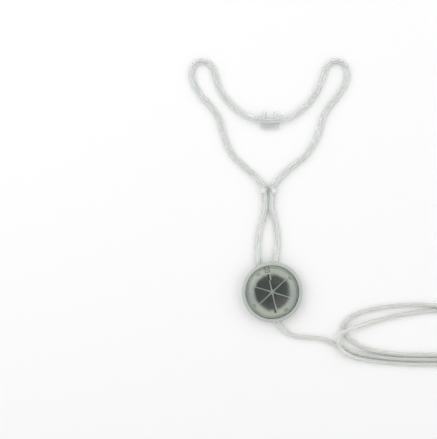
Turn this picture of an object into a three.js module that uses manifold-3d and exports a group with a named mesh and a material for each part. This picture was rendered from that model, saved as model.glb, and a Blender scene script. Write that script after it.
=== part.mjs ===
// Pendant-style nasal oxygen cannula, laid flat on its back on a level surface.
// Millimetres, +Z up. The origin is the centre of the pendant's flat back.
// +Y runs from the pendant towards the nasal prongs, +X to the right of the picture.

import * as THREE from 'three';
import { mergeVertices } from 'three/addons/utils/BufferGeometryUtils.js';
import Module from 'manifold-3d';

const wasm = await Module();
wasm.setup();

// Clearances
const SEAT_GAP = 0.3;              // between pieces that touch
const BORE_CLEARANCE = 0.35;       // round a tube, on the radius

// Tubes: clear soft PVC, wide bore to the nose, standard bore to the supply
const CANNULA_TUBE_DIAMETER = 7.2;
const SUPPLY_TUBE_DIAMETER = 6.0;
const TUBE_SIDES = 12;
const CANNULA_STEPS = 46;
const SUPPLY_STEPS = 12;
const TAIL_STEPS = 6;

// Nasal piece: one soft moulding with two prongs and a lip tab
const NASAL_CENTRE = [-2.8, 239.0];
const NASAL_HEIGHT = 5.6;          // axis of the body above the surface
const NASAL_DIAMETER = 8.6;
const NASAL_BORE = 5.6;
const NASAL_LENGTH = 40;           // along the curve of the face
const FACE_RADIUS = 70;            // curve of the body, seen from the front
const PRONG_SPACING = 16.8;
const PRONG_DIAMETER = 4.8;
const PRONG_BORE = 3.2;
const PRONG_LENGTH = 12.5;
const PRONG_DROP = 2.9;            // how far the tips curve back towards the face
const LIP_TAB_WIDTH = 27;
const LIP_TAB_LENGTH = 13;         // from the body's axis
const LIP_TAB_THICKNESS = 1.6;
const LIP_TAB_CORNER = 5;

// Slider: a short flat sleeve round both tubes
const SLIDER_CENTRE = [-4.9, 141.4];
const SLIDER_WIDTH = 22.4;
const SLIDER_LENGTH = 8;
const SLIDER_WALL = 1.2;
const SLIDER_CORNER = 3.4;
const SLIDER_FLARE = 2.2;          // the mouth is wider than the outlet, each side
const SLIDER_TRAVEL = 16;          // straight run of the tubes below it
const TUBE_PAIR_GAP = 0.4;         // between the two tubes inside the sleeve

// Pendant: back shell, membrane and front cover
const PENDANT_DIAMETER = 84.6;
const PENDANT_SEGMENTS = 60;
const COVER_SKIRT = 1.4;
const COVER_EDGE_ROUND = 2.8;
const COVER_RIM_WIDTH = 2.1;       // flat top of the outer rim
const COVER_RIM_HEIGHT = 16;
const COVER_GROOVE_WIDTH = 1.2;
const COVER_GROOVE_FLOOR = 14.5;
const COVER_BEAD_WIDTH = 2.2;
const COVER_BEAD_HEIGHT = 15.4;
const COVER_BAND_HEIGHT = 14.5;
const COVER_WINDOW_RADIUS = 26;
const COVER_WINDOW_HEIGHT = 13.9;
const COVER_PLATE = 1.2;
const BACK_WALL = 1.8;
const BACK_FLOOR = 1.2;
const BACK_CHAMFER = 2.6;
const LEDGE_WIDTH = 2.2;
const LEDGE_THICKNESS = 1.5;
const MEMBRANE_THICKNESS = 0.6;
const RIM_ABOVE_MEMBRANE = 0.7;    // how far the back's wall stands above the membrane
const STAR_ARMS = 6;
const STAR_TURN = -17;             // degrees from +X
const STAR_ARM_LENGTH = 24;
const STAR_ARM_WIDTH = 1.6;
const STAR_ARM_HEIGHT = 1.0;
const STAR_HUB_RADIUS = 2.4;

// Ports in the pendant's wall
const PORT_WALL = 1.1;
const PORT_DEPTH = 12;
const TUBE_DEPTH = 8;              // how deep a tube sits in its port
const PORT_SETBACK = 1;            // a boss ends this far inside the wall's outer face
const PORT_CUT_PAST = 4;           // a bore is cut this far past that face
const LEFT_PORT_X = -19.3;
const RIGHT_PORT_X = 4.9;
const OUTLET_POINT = [7.1, -41.0];
const OUTLET_POINT_OUTSIDE = 1;    // how far that point is outside the wall
const OUTLET_ANGLE = -60;          // degrees from +X

// A tube settles on to the surface from a raised end by these shares of the rise, nearest first,
// so that its smooth curve never dips below the surface
const SETTLE_SHARES = [0.3, 0.05];

// Coil of the supply tube: two loose oval loops, two tube diameters high
const COIL_END_CENTRE = [378, -57.25];
const COIL_END_RADIUS = 37.75;     // centre line of the outer turn at the far end
const COIL_TURN_PITCH = 6.45;
const COIL_STRAIGHT_X = 235;       // from here to the far turn the strands run straight
const COIL_TAIL_X = 296;           // where the last strand leaves the coil
const COIL_TAIL_Y = -101.9;

// Supply connector: soft funnel that pushes on to an oxygen outlet
const CONNECTOR_START = [377, -115.0];
const CONNECTOR_LENGTH = 42;
const CONNECTOR_NECK_DIAMETER = 9.4;
const CONNECTOR_MOUTH_DIAMETER = 12.4;
const CONNECTOR_NECK_LENGTH = 14;
const CONNECTOR_FLARE_LENGTH = 10;
const CONNECTOR_SOCKET_DEPTH = 12;
const CONNECTOR_WAIST_LENGTH = 4;
const CONNECTOR_WAIST_BORE = 4.4;
const CONNECTOR_BORE = 6.8;
const CONNECTOR_SEGMENTS = 24;

// Sizes worked out from the ones above
const cannulaRadius = CANNULA_TUBE_DIAMETER / 2;
const supplyRadius = SUPPLY_TUBE_DIAMETER / 2;
const cannulaHole = polygonRadius(cannulaRadius + BORE_CLEARANCE);
const supplyHole = polygonRadius(supplyRadius + BORE_CLEARANCE);
const portHeight = SLIDER_WALL + cannulaRadius + BORE_CLEARANCE + 0.1;
const pendantRadius = PENDANT_DIAMETER / 2;
const backRadius = pendantRadius - COVER_SKIRT - SEAT_GAP;
const ledgeTop = portHeight + cannulaHole + PORT_WALL + 0.1;
const membraneBottom = ledgeTop + SEAT_GAP;
const membraneTop = membraneBottom + MEMBRANE_THICKNESS;
const backTop = membraneTop + RIM_ABOVE_MEMBRANE;
const skirtBottom = portHeight + cannulaHole + SEAT_GAP;
const membraneRadius = backRadius - BACK_WALL - SEAT_GAP;

// A regular polygon drawn round a circle of this radius has its corners here
function polygonRadius(radius) {
  return radius / Math.cos(Math.PI / TUBE_SIDES);
}

function circleShape(radius, sides) {
  const corners = [];
  for (let i = 0; i < sides; i += 1) {
    const angle = (2 * Math.PI * i) / sides;
    corners.push(new THREE.Vector2(radius * Math.cos(angle), radius * Math.sin(angle)));
  }
  return new THREE.Shape(corners);
}

function curveThrough(points) {
  const curve = new THREE.CatmullRomCurve3(points.map((p) => new THREE.Vector3(...p)));
  curve.curveType = 'centripetal';
  curve.arcLengthDivisions = 2000;
  return curve;
}

function rodAlong(points, radius, steps) {
  return new THREE.ExtrudeGeometry(circleShape(radius, TUBE_SIDES), {
    steps,
    extrudePath: curveThrough(points),
    bevelEnabled: false,
  });
}

function toSolid(geometry) {
  const bare = geometry.clone();
  bare.deleteAttribute('normal');
  bare.deleteAttribute('uv');
  const merged = mergeVertices(bare, 1e-4);
  return new wasm.Manifold(new wasm.Mesh({
    numProp: 3,
    vertProperties: new Float32Array(merged.attributes.position.array),
    triVerts: new Uint32Array(merged.index.array),
  }));
}

function toGeometry(solid) {
  const mesh = solid.getMesh();
  const geometry = new THREE.BufferGeometry();
  geometry.setAttribute('position', new THREE.BufferAttribute(mesh.vertProperties, 3));
  geometry.setIndex(new THREE.BufferAttribute(mesh.triVerts, 1));
  return geometry;
}

// Lathe profiles are [radius, height] pairs, turned about +Z
function turned(profile, segments) {
  const geometry = new THREE.LatheGeometry(profile.map(([r, z]) => new THREE.Vector2(r, z)), segments);
  geometry.rotateX(Math.PI / 2);
  return geometry;
}

// Nasal piece

function nasalArc(halfLength, height) {
  const points = [];
  const count = 8;
  for (let i = 0; i <= count; i += 1) {
    const angle = ((2 * i) / count - 1) * (halfLength / FACE_RADIUS);
    points.push([
      NASAL_CENTRE[0] + FACE_RADIUS * Math.sin(angle),
      NASAL_CENTRE[1] + FACE_RADIUS * (1 - Math.cos(angle)),
      height,
    ]);
  }
  return points;
}

// The point where a tube starts at one end of the nasal piece: side is -1 or +1
function nasalEnd(side, distance) {
  const angle = NASAL_LENGTH / 2 / FACE_RADIUS;
  return [
    NASAL_CENTRE[0] + side * (FACE_RADIUS * Math.sin(angle) + distance * Math.cos(angle)),
    NASAL_CENTRE[1] + FACE_RADIUS * (1 - Math.cos(angle)) + distance * Math.sin(angle),
    NASAL_HEIGHT,
  ];
}

function prongPath(side, start, extra) {
  const offset = (side * PRONG_SPACING) / 2;
  const lift = FACE_RADIUS * (1 - Math.cos(offset / FACE_RADIUS));
  const x = NASAL_CENTRE[0] + offset;
  const y = NASAL_CENTRE[1] + lift;
  const reach = PRONG_LENGTH + extra;
  const points = [];
  for (let i = 0; i <= 5; i += 1) {
    const along = start + ((reach - start) * i) / 5;
    const share = Math.max(along, 0) / PRONG_LENGTH;
    points.push([x - side * 0.8 * share, y + along, NASAL_HEIGHT - PRONG_DROP * share * share]);
  }
  return points;
}

function lipTab() {
  const half = LIP_TAB_WIDTH / 2;
  const shape = new THREE.Shape();
  shape.moveTo(-half, 0);
  shape.lineTo(-half, -LIP_TAB_LENGTH + LIP_TAB_CORNER);
  shape.absarc(-half + LIP_TAB_CORNER, -LIP_TAB_LENGTH + LIP_TAB_CORNER, LIP_TAB_CORNER, Math.PI, 1.5 * Math.PI);
  shape.absarc(half - LIP_TAB_CORNER, -LIP_TAB_LENGTH + LIP_TAB_CORNER, LIP_TAB_CORNER, 1.5 * Math.PI, 2 * Math.PI);
  shape.lineTo(half, 0);
  const tab = new THREE.ExtrudeGeometry(shape, {
    depth: LIP_TAB_THICKNESS,
    bevelEnabled: false,
    curveSegments: 6,
  });
  tab.translate(NASAL_CENTRE[0], NASAL_CENTRE[1], NASAL_HEIGHT - NASAL_DIAMETER / 2 + 0.4);
  return tab;
}

function nasalProngs() {
  let solid = toSolid(rodAlong(nasalArc(NASAL_LENGTH / 2, NASAL_HEIGHT), NASAL_DIAMETER / 2, 10));
  solid = solid.add(toSolid(lipTab()));
  for (const side of [-1, 1]) {
    solid = solid.add(toSolid(rodAlong(prongPath(side, 0, 0), PRONG_DIAMETER / 2, 6)));
  }
  for (const side of [-1, 1]) {
    solid = solid.subtract(toSolid(rodAlong(prongPath(side, 0.5, 1), PRONG_BORE / 2, 6)));
  }
  const bore = rodAlong(nasalArc(NASAL_LENGTH / 2 + 1, NASAL_HEIGHT), NASAL_BORE / 2, 10);
  return toGeometry(solid.subtract(toSolid(bore)));
}

// Slider

const sliderHalf = SLIDER_LENGTH / 2;
const tubeOffset = (CANNULA_TUBE_DIAMETER + TUBE_PAIR_GAP) / 2;
const sliderHeight = 2 * (SLIDER_WALL + cannulaHole);

function sliderBody() {
  const halfWidth = SLIDER_WIDTH / 2 - SLIDER_CORNER;
  const halfHeight = sliderHeight / 2 - SLIDER_CORNER;
  const shape = new THREE.Shape();
  shape.absarc(halfWidth, halfHeight, SLIDER_CORNER, 0, Math.PI / 2);
  shape.absarc(-halfWidth, halfHeight, SLIDER_CORNER, Math.PI / 2, Math.PI);
  shape.absarc(-halfWidth, -halfHeight, SLIDER_CORNER, Math.PI, 1.5 * Math.PI);
  shape.absarc(halfWidth, -halfHeight, SLIDER_CORNER, 1.5 * Math.PI, 2 * Math.PI);
  const body = new THREE.ExtrudeGeometry(shape, {
    depth: SLIDER_LENGTH,
    bevelEnabled: false,
    curveSegments: 6,
  });
  body.translate(0, 0, -sliderHalf);
  body.rotateX(Math.PI / 2);
  return body;
}

// The passage: flared from above, with rounded ends seen along the tubes
function sliderPassage() {
  const outlet = tubeOffset + cannulaHole;
  const mouth = outlet + SLIDER_FLARE;
  const past = 2;
  const plan = new THREE.Shape();
  plan.moveTo(-outlet, -sliderHalf - past);
  plan.lineTo(outlet, -sliderHalf - past);
  plan.lineTo(outlet, -sliderHalf);
  plan.lineTo(mouth, sliderHalf);
  plan.lineTo(mouth, sliderHalf + past);
  plan.lineTo(-mouth, sliderHalf + past);
  plan.lineTo(-mouth, sliderHalf);
  plan.lineTo(-outlet, -sliderHalf);
  const flare = new THREE.ExtrudeGeometry(plan, { depth: sliderHeight, bevelEnabled: false });
  flare.translate(0, 0, -sliderHeight / 2);

  const end = tubeOffset + SLIDER_FLARE;
  const section = new THREE.Shape();
  section.absarc(end, 0, cannulaHole, -Math.PI / 2, Math.PI / 2);
  section.absarc(-end, 0, cannulaHole, Math.PI / 2, 1.5 * Math.PI);
  const sleeve = new THREE.ExtrudeGeometry(section, {
    depth: SLIDER_LENGTH + 2 * past,
    bevelEnabled: false,
    curveSegments: 8,
  });
  sleeve.translate(0, 0, -sliderHalf - past);
  sleeve.rotateX(Math.PI / 2);
  return toSolid(flare).intersect(toSolid(sleeve));
}

function slider() {
  const geometry = toGeometry(toSolid(sliderBody()).subtract(sliderPassage()));
  geometry.translate(SLIDER_CENTRE[0], SLIDER_CENTRE[1], portHeight);
  return geometry;
}

// Pendant

// A port's axis, from so far inside the wall's outer face to so far outside it
function inletAxis(x, inner, outer) {
  const wallY = Math.sqrt(backRadius * backRadius - x * x);
  return [[x, wallY - inner, portHeight], [x, wallY - inner / 2, portHeight], [x, wallY + outer, portHeight]];
}

function outletAt(distance) {
  const angle = THREE.MathUtils.degToRad(OUTLET_ANGLE);
  return [
    OUTLET_POINT[0] + distance * Math.cos(angle),
    OUTLET_POINT[1] + distance * Math.sin(angle),
    portHeight,
  ];
}

function outletAxis(inner, outer) {
  const start = -inner - OUTLET_POINT_OUTSIDE;
  return [outletAt(start), outletAt(start / 2), outletAt(outer)];
}

function pendantBack() {
  const wallInside = backRadius - BACK_WALL;
  let solid = toSolid(turned([
    [0, 0],
    [backRadius - BACK_CHAMFER, 0],
    [backRadius - 0.3 * BACK_CHAMFER, 0.3 * BACK_CHAMFER],
    [backRadius, BACK_CHAMFER],
    [backRadius, backTop],
    [wallInside, backTop],
    [wallInside, ledgeTop],
    [wallInside - LEDGE_WIDTH, ledgeTop],
    [wallInside - LEDGE_WIDTH, ledgeTop - 0.5 * LEDGE_THICKNESS],
    [wallInside, ledgeTop - LEDGE_THICKNESS - 0.5 * LEDGE_WIDTH],
    [wallInside, BACK_FLOOR + 1],
    [wallInside - 1, BACK_FLOOR],
    [0, BACK_FLOOR],
  ], PENDANT_SEGMENTS));

  const ports = [
    [(inner, outer) => inletAxis(LEFT_PORT_X, inner, outer), cannulaHole],
    [(inner, outer) => inletAxis(RIGHT_PORT_X, inner, outer), cannulaHole],
    [outletAxis, supplyHole],
  ];
  for (const [axis, hole] of ports) {
    solid = solid.add(toSolid(rodAlong(axis(PORT_DEPTH, -PORT_SETBACK), hole + PORT_WALL, 2)));
  }
  for (const [axis, hole] of ports) {
    solid = solid.subtract(toSolid(rodAlong(axis(PORT_DEPTH + 1, PORT_CUT_PAST), hole, 2)));
  }
  return toGeometry(solid);
}

function pendantMembrane() {
  let solid = toSolid(turned([
    [0, membraneBottom],
    [membraneRadius, membraneBottom],
    [membraneRadius, membraneTop],
    [STAR_HUB_RADIUS, membraneTop],
    [STAR_HUB_RADIUS, membraneTop + STAR_ARM_HEIGHT],
    [0, membraneTop + STAR_ARM_HEIGHT],
  ], PENDANT_SEGMENTS));
  for (let i = 0; i < STAR_ARMS; i += 1) {
    const arm = new THREE.BoxGeometry(STAR_ARM_LENGTH, STAR_ARM_WIDTH, STAR_ARM_HEIGHT + MEMBRANE_THICKNESS);
    arm.translate(STAR_ARM_LENGTH / 2, 0, membraneBottom + (STAR_ARM_HEIGHT + MEMBRANE_THICKNESS) / 2);
    arm.rotateZ(THREE.MathUtils.degToRad(STAR_TURN + (360 * i) / STAR_ARMS));
    solid = solid.add(toSolid(arm));
  }
  return toGeometry(solid);
}

function pendantCover() {
  const skirtInside = pendantRadius - COVER_SKIRT;
  const rimInside = pendantRadius - COVER_EDGE_ROUND - COVER_RIM_WIDTH;
  const grooveInside = rimInside - COVER_GROOVE_WIDTH;
  const beadInside = grooveInside - COVER_BEAD_WIDTH;
  const windowUnderside = COVER_WINDOW_HEIGHT - COVER_PLATE;
  const profile = [
    [0, windowUnderside],
    [membraneRadius - LEDGE_WIDTH, windowUnderside],
    [membraneRadius - LEDGE_WIDTH + 0.4, membraneTop + SEAT_GAP],
    [membraneRadius - 0.2, membraneTop + SEAT_GAP],
    [membraneRadius - 0.2, backTop + SEAT_GAP],
    [skirtInside, backTop + SEAT_GAP],
    [skirtInside, skirtBottom],
    [pendantRadius, skirtBottom],
  ];
  const roundCentre = [pendantRadius - COVER_EDGE_ROUND, COVER_RIM_HEIGHT - COVER_EDGE_ROUND];
  for (let i = 0; i <= 5; i += 1) {
    const angle = (Math.PI / 2) * (i / 5);
    profile.push([
      roundCentre[0] + COVER_EDGE_ROUND * Math.cos(angle),
      roundCentre[1] + COVER_EDGE_ROUND * Math.sin(angle),
    ]);
  }
  profile.push(
    [rimInside, COVER_RIM_HEIGHT],
    [rimInside - 0.1, COVER_GROOVE_FLOOR],
    [grooveInside, COVER_GROOVE_FLOOR],
    [grooveInside - 0.2, COVER_BEAD_HEIGHT],
    [beadInside, COVER_BEAD_HEIGHT],
    [beadInside - 0.4, COVER_BAND_HEIGHT],
    [COVER_WINDOW_RADIUS, COVER_WINDOW_HEIGHT],
    [0, COVER_WINDOW_HEIGHT],
  );
  return turned(profile, PENDANT_SEGMENTS);
}

// Cannula tubes: each route lists its points by hand from the ear loop on,
// and its ends follow the nasal piece, the slider and the pendant

const LEFT_FACE = [[-47.7, 254.0], [-62.6, 268.7], [-73.2, 284.5], [-79.2, 302.0]];
const LEFT_EAR = [[-83.5, 314.0], [-91.5, 321.8], [-101.5, 322.6], [-109.8, 316.0], [-112.4, 304.5]];
const LEFT_NECK = [
  [-108.4, 289.5], [-99.0, 274.0], [-86.5, 260.5], [-76.0, 246.0], [-69.8, 227.5],
  [-63.6, 208.3], [-54.2, 190.8], [-40.2, 176.6], [-26.6, 164.6], [-15.6, 152.8],
];
const LEFT_CHEST = [[-12.0, 105.3], [-15.8, 92.4], [-18.5, 78.4], [-20.0, 62.6]];
const RIGHT_FACE = [[34.7, 249.9], [51.7, 264.5], [64.6, 283.8], [71.9, 302.0]];
const RIGHT_EAR = [[76.4, 314.0], [84.4, 321.8], [94.4, 322.6], [102.7, 316.0], [105.3, 304.5]];
const RIGHT_NECK = [
  [101.3, 289.5], [92.2, 274.0], [81.0, 260.5], [72.4, 246.0], [67.0, 227.5],
  [59.4, 208.8], [46.2, 189.8], [30.6, 177.0], [16.6, 165.2], [5.5, 152.8],
];
const RIGHT_CHEST = [[2.2, 105.3], [5.6, 92.4], [7.5, 78.4], [7.6, 62.6]];

// Points of a tube that lies on the surface, between a start and an end that may be higher
function settled(points, radius, startHeight, endHeight) {
  const last = points.length - 1;
  return points.map(([x, y], i) => {
    const fromStart = (SETTLE_SHARES[i] ?? 0) * (startHeight - radius);
    const fromEnd = (SETTLE_SHARES[last - i] ?? 0) * (endHeight - radius);
    return [x, y, radius + fromStart + fromEnd];
  });
}

function cannulaRoute(side, face, ear, neck, chest, portX) {
  const x = SLIDER_CENTRE[0] + side * tubeOffset;
  const lowest = SLIDER_CENTRE[1] - sliderHalf - SLIDER_TRAVEL;
  const wallY = Math.sqrt(backRadius * backRadius - portX * portX);
  const straight = [];
  for (let i = 0; i <= 4; i += 1) {
    straight.push([x, SLIDER_CENTRE[1] - sliderHalf + 1 - ((SLIDER_TRAVEL + 3) * i) / 4, portHeight]);
  }
  const entry = neck[neck.length - 1];
  return [
    nasalEnd(side, SEAT_GAP),
    nasalEnd(side, 10),
    ...settled([...face, ...ear, ...neck.slice(0, -1)], cannulaRadius, NASAL_HEIGHT, portHeight),
    [entry[0], entry[1], 0.3 * cannulaRadius + 0.7 * portHeight],
    [x + side * 1.5, SLIDER_CENTRE[1] + sliderHalf, portHeight],
    ...straight,
    [chest[0][0], Math.min(chest[0][1], lowest - 10), 0.45 * cannulaRadius + 0.55 * portHeight],
    ...settled(chest.slice(1), cannulaRadius, portHeight, portHeight),
    [portX, wallY + 7, portHeight],
    [portX, wallY, portHeight],
    [portX, wallY - TUBE_DEPTH, portHeight],
  ];
}

// Supply tube: the lead from the pendant, and the tail to the connector

const LEAD = [
  [13.6, -50.9], [22.8, -58.5], [35.4, -62.6], [49.7, -63.9], [65.5, -65.2], [77.6, -68.6], [86.3, -72.4],
];

const leadRoute = [
  outletAt(-TUBE_DEPTH),
  outletAt(-TUBE_DEPTH / 2),
  outletAt(1),
  [LEAD[0][0], LEAD[0][1], 0.4 * supplyRadius + 0.6 * portHeight],
  ...settled(LEAD.slice(1), supplyRadius, portHeight, supplyRadius),
];

const connectorHeight = CONNECTOR_MOUTH_DIAMETER / 2;
const TAIL = [[COIL_TAIL_X + SEAT_GAP, COIL_TAIL_Y], [316, -102.6], [336, -106.6], [354, -112.4]];

const tailRoute = [
  ...settled(TAIL, supplyRadius, supplyRadius, connectorHeight),
  [CONNECTOR_START[0] - 8, CONNECTOR_START[1], connectorHeight],
  [CONNECTOR_START[0], CONNECTOR_START[1], connectorHeight],
  [CONNECTOR_START[0] + CONNECTOR_SOCKET_DEPTH - SEAT_GAP, CONNECTOR_START[1], connectorHeight],
];

// The coil's outer edge follows the loops at the end that shows, and its hole likewise
const COIL_LEFT_OUTSIDE = [
  [204.5, -14.6], [173, -16.3], [141.4, -20.8], [116.5, -28.6], [101.5, -37.6], [93.4, -49.4],
  [87.9, -62.5], [90.2, -77], [100.6, -88.6], [116.8, -96.4], [150, -101.6], [190, -104.6],
];
const COIL_LEFT_INSIDE = [
  [204.5, -33], [173, -38.6], [141.4, -46.6], [121, -53], [112, -60], [118, -68],
  [135, -76.6], [160, -81.6], [190, -84.6],
];

function supplyCoil() {
  const [cx, cy] = COIL_END_CENTRE;
  const play = supplyRadius + BORE_CLEARANCE;
  const outside = COIL_END_RADIUS + play;
  const inside = COIL_END_RADIUS - COIL_TURN_PITCH - play;
  const tailSide = COIL_TAIL_Y - play;

  const outline = new THREE.Shape();
  outline.moveTo(COIL_TAIL_X, tailSide);
  outline.lineTo(COIL_TAIL_X, cy - outside);
  outline.absarc(cx, cy, outside, -Math.PI / 2, Math.PI / 2);
  outline.lineTo(COIL_STRAIGHT_X, cy + outside);
  outline.splineThru([...COIL_LEFT_OUTSIDE, [COIL_STRAIGHT_X, tailSide]].map((p) => new THREE.Vector2(...p)));

  const hole = new THREE.Path();
  hole.moveTo(cx, cy - inside);
  hole.absarc(cx, cy, inside, -Math.PI / 2, Math.PI / 2);
  hole.lineTo(COIL_STRAIGHT_X, cy + inside);
  hole.splineThru([...COIL_LEFT_INSIDE, [COIL_STRAIGHT_X, cy - inside]].map((p) => new THREE.Vector2(...p)));
  outline.holes.push(hole);

  return new THREE.ExtrudeGeometry(outline, {
    depth: 2 * SUPPLY_TUBE_DIAMETER,
    bevelEnabled: false,
    curveSegments: 4,
  });
}

function supplyConnector() {
  const neck = CONNECTOR_NECK_DIAMETER / 2;
  const mouth = CONNECTOR_MOUTH_DIAMETER / 2;
  const flareEnd = CONNECTOR_NECK_LENGTH + CONNECTOR_FLARE_LENGTH;
  const waistEnd = CONNECTOR_SOCKET_DEPTH + CONNECTOR_WAIST_LENGTH;
  const geometry = turned([
    [supplyHole, 0],
    [neck, 0],
    [neck, CONNECTOR_NECK_LENGTH],
    [mouth, flareEnd],
    [mouth, CONNECTOR_LENGTH],
    [CONNECTOR_BORE / 2, CONNECTOR_LENGTH],
    [CONNECTOR_BORE / 2, waistEnd + 1],
    [CONNECTOR_WAIST_BORE / 2, waistEnd],
    [CONNECTOR_WAIST_BORE / 2, CONNECTOR_SOCKET_DEPTH],
    [supplyHole, CONNECTOR_SOCKET_DEPTH],
    [supplyHole, 0],
  ], CONNECTOR_SEGMENTS);
  geometry.rotateY(Math.PI / 2);
  geometry.translate(CONNECTOR_START[0], CONNECTOR_START[1], connectorHeight);
  return geometry;
}

// Materials and the finished part

const clearPvc = new THREE.MeshStandardMaterial({ color: '#cdd6d2', roughness: 0.18, metalness: 0 });
const softMoulding = new THREE.MeshStandardMaterial({ color: '#d3dbd6', roughness: 0.3, metalness: 0 });
const whiteMoulding = new THREE.MeshStandardMaterial({ color: '#eef0ee', roughness: 0.4, metalness: 0 });
const frostedShell = new THREE.MeshStandardMaterial({ color: '#c3cbc2', roughness: 0.45, metalness: 0 });
const greyMembrane = new THREE.MeshStandardMaterial({ color: '#76837f', roughness: 0.5, metalness: 0 });

const leftRoute = cannulaRoute(-1, LEFT_FACE, LEFT_EAR, LEFT_NECK, LEFT_CHEST, LEFT_PORT_X);
const rightRoute = cannulaRoute(1, RIGHT_FACE, RIGHT_EAR, RIGHT_NECK, RIGHT_CHEST, RIGHT_PORT_X);

const pieces = [
  ['nasal_prongs', nasalProngs(), softMoulding],
  ['cannula_tube_left', rodAlong(leftRoute, cannulaRadius, CANNULA_STEPS), clearPvc],
  ['cannula_tube_right', rodAlong(rightRoute, cannulaRadius, CANNULA_STEPS), clearPvc],
  ['slider', slider(), whiteMoulding],
  ['pendant_back', pendantBack(), frostedShell],
  ['pendant_membrane', pendantMembrane(), greyMembrane],
  ['pendant_cover', pendantCover(), frostedShell],
  ['supply_tube', rodAlong(leadRoute, supplyRadius, SUPPLY_STEPS), clearPvc],
  ['supply_coil', supplyCoil(), clearPvc],
  ['supply_tail', rodAlong(tailRoute, supplyRadius, TAIL_STEPS), clearPvc],
  ['supply_connector', supplyConnector(), softMoulding],
];

const cannula = new THREE.Group();
for (const [name, geometry, material] of pieces) {
  const mesh = new THREE.Mesh(geometry, material);
  mesh.name = name;
  cannula.add(mesh);
}

export default cannula;
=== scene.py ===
import math

import bmesh
import bpy
from mathutils import Matrix, Vector


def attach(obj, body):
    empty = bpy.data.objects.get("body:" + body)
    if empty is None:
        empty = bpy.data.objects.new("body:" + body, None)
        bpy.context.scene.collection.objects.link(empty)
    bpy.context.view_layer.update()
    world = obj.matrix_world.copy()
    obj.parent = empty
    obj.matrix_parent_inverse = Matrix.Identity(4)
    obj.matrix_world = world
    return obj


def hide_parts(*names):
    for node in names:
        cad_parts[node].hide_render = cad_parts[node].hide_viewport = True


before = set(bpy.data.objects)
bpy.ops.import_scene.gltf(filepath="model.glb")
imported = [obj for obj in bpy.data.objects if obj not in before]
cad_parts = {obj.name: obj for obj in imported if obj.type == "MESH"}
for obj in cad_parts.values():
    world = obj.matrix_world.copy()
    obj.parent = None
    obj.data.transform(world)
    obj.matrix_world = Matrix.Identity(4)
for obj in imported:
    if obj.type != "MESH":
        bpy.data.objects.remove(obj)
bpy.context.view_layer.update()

# A nasal oxygen cannula with a round pendant, laid flat and seen from straight above.
# Sizes are in millimetres unless a name says otherwise, and MM turns them to metres.

MM = 0.001

# Sizes that the construction fixes
CANNULA_RADIUS = 3.6
CANNULA_BORE_RADIUS = 2.6
SUPPLY_RADIUS = 3.0
SUPPLY_BORE_RADIUS = 2.2
PORT_HEIGHT = 5.25
NASAL_HEIGHT = 5.6
NASAL_X = -2.8
NASAL_Y = 239.0
NASAL_LENGTH = 40.0
FACE_RADIUS = 70.0
SLIDER_X = -4.9
SLIDER_Y = 141.4
SLIDER_HALF_LENGTH = 4.0
SLIDER_TRAVEL = 16.0
TUBE_OFFSET = 3.8
SEAT_GAP = 0.3
PENDANT_RADIUS = 42.3
BACK_RADIUS = 40.6
TUBE_DEPTH = 8.0
COIL_END_X = 378.0
COIL_END_Y = -57.25
COIL_OUTER_TURN = 37.75
COIL_INNER_TURN = 31.3
CONNECTOR_X = 377.0
CONNECTOR_Y = -115.0
CONNECTOR_HEIGHT = 6.2


# Small helpers

def srgb(code):
    """A colour written as sRGB hex, turned to the linear values that shaders use."""
    values = []
    for i in (1, 3, 5):
        part = int(code[i:i + 2], 16) / 255
        values.append(part / 12.92 if part <= 0.04045 else ((part + 0.055) / 1.055) ** 2.4)
    return (*values, 1.0)


def put(tree, kind, links=(), **settings):
    """Adds a node. Settings name its properties, or its inputs with spaces as underscores."""
    node = tree.nodes.new(kind)
    for key, value in settings.items():
        name = key.replace("_", " ")
        if hasattr(node, key):
            setattr(node, key, value)
        elif name in node.inputs:
            node.inputs[name].default_value = value
        else:
            node.inputs[int(key.strip("i"))].default_value = value
    for socket, source in links:
        tree.links.new(source, node.inputs[socket])
    return node


def new_material(name):
    material = bpy.data.materials.new(name)
    material.use_nodes = True
    tree = material.node_tree
    tree.nodes.clear()
    return material, tree


def add_object(name, mesh):
    thing = bpy.data.objects.new(name, mesh)
    bpy.context.scene.collection.objects.link(thing)
    return thing


def smooth(thing, angle=35):
    thing.data.shade_smooth()
    thing.data.set_sharp_from_angle(angle=math.radians(angle))
    return thing


def mesh_from(name, points, faces):
    """A mesh piece from points in millimetres."""
    mesh = bpy.data.meshes.new(name)
    mesh.from_pydata([tuple(v * MM for v in p) for p in points], [], faces)
    mesh.validate()
    return add_object(name, mesh)


def outward(thing):
    """Merges doubles and turns all faces outwards."""
    work = bmesh.new()
    work.from_mesh(thing.data)
    bmesh.ops.remove_doubles(work, verts=work.verts, dist=1e-6)
    bmesh.ops.recalc_face_normals(work, faces=work.faces)
    work.to_mesh(thing.data)
    work.free()
    return thing


def applied(thing):
    """Bakes a piece's modifiers into its mesh."""
    bpy.context.view_layer.update()
    graph = bpy.context.evaluated_depsgraph_get()
    mesh = bpy.data.meshes.new_from_object(thing.evaluated_get(graph))
    thing.modifiers.clear()
    thing.data = mesh
    return thing


def cut(thing, cutter, how="DIFFERENCE"):
    """Cuts a piece with another closed mesh, or fuses the two, and removes the other one."""
    change = thing.modifiers.new("cut", "BOOLEAN")
    change.operation = how
    change.solver = "EXACT"
    change.object = cutter
    applied(thing)
    bpy.data.objects.remove(cutter)


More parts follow.
